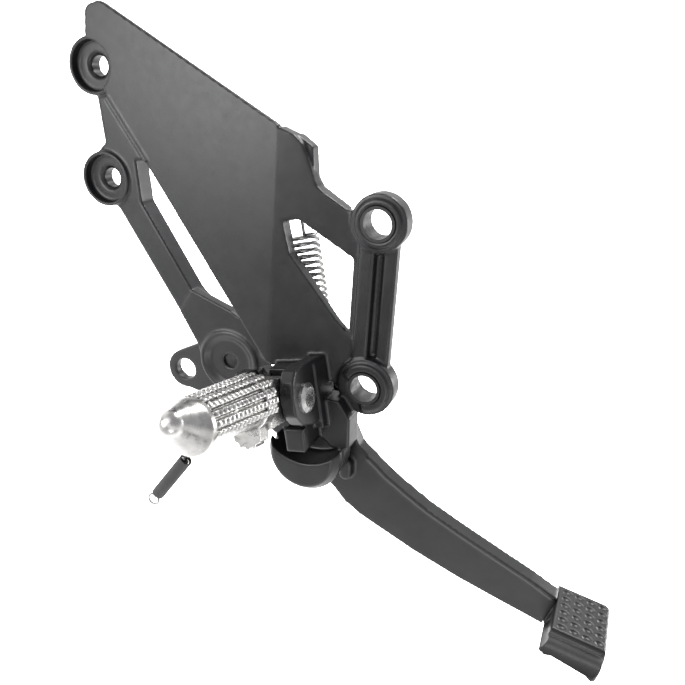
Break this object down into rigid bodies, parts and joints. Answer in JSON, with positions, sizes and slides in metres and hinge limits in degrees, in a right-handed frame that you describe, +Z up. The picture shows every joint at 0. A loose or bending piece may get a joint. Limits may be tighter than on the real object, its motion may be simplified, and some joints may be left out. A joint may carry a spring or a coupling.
{
  "type": "motorcycle footrest assembly",
  "caption": "Right-hand footrest bracket with heel guard, folding ribbed foot peg, brake pedal with dimpled toe pad, return spring and brake light switch spring.",
  "frame": {"origin": "axis of the upper frame bolt's hole, in the plane of the heel guard's outer face", "axes": "+X forward on the motorcycle, +Y inboard towards the motorcycle (its left), +Z up"},
  "size_m": [0.3623, 0.1228, 0.2293],
  "materials": {
    "casting": "cast, painted satin black",
    "pedal": "forged, painted satin black",
    "peg": "as cast and machined",
    "pin": "turned",
    "plated": "zinc plated",
    "blackened": "black oxide",
    "sleeve": "machined",
    "spring": "zinc plated",
    "bush": "sintered bronze",
    "rubber": "matt"
  },
  "bodies": {
    "bracket": {"bracket_casting": "casting", "frame_sleeve_upper": "sleeve", "frame_sleeve_lower": "sleeve", "pedal_stop_pad": "rubber", "pedal_pivot_bolt": "blackened", "pivot_washer": "plated", "spring_post": "plated", "peg_pin": "pin", "peg_pin_washer": "plated", "peg_pin_clip": "plated", "return_spring": "spring", "peg_spring": "spring"},
    "pedal": {"brake_pedal": "pedal", "toe_pad": "pedal", "pivot_bush_outer": "bush", "pivot_bush_inner": "bush", "pivot_seal_outer": "rubber", "pivot_seal_inner": "rubber", "spring_pin": "plated"},
    "folding_peg": {"peg": "peg"},
    "switch_link": {"switch_spring": "spring", "switch_spring_sleeve": "rubber"}
  },
  "joints": [
    {"name": "pedal_press", "type": "hinge", "parent": "bracket", "child": "pedal", "pos_m": [-0.014, 0.014, -0.1035], "axis": [0, 1, 0], "range_deg": [0, 12], "stiffness_Nm_per_rad": 8, "springref_deg": -20.05, "deforming": ["return_spring"]},
    {"name": "peg_fold", "type": "hinge", "parent": "bracket", "child": "folding_peg", "pos_m": [0.016, -0.021, -0.0826], "axis": [-0.6947, 0, -0.7193], "range_deg": [0, 80], "stiffness_Nm_per_rad": 0.5, "springref_deg": -28.65, "deforming": ["peg_spring"]},
    {"name": "switch_spring_swing", "type": "hinge", "parent": "pedal", "child": "switch_link", "pos_m": [-0.0012, 0.01175, -0.1265], "axis": [0, 1, 0], "range_deg": [-30, 30]}
  ]
}
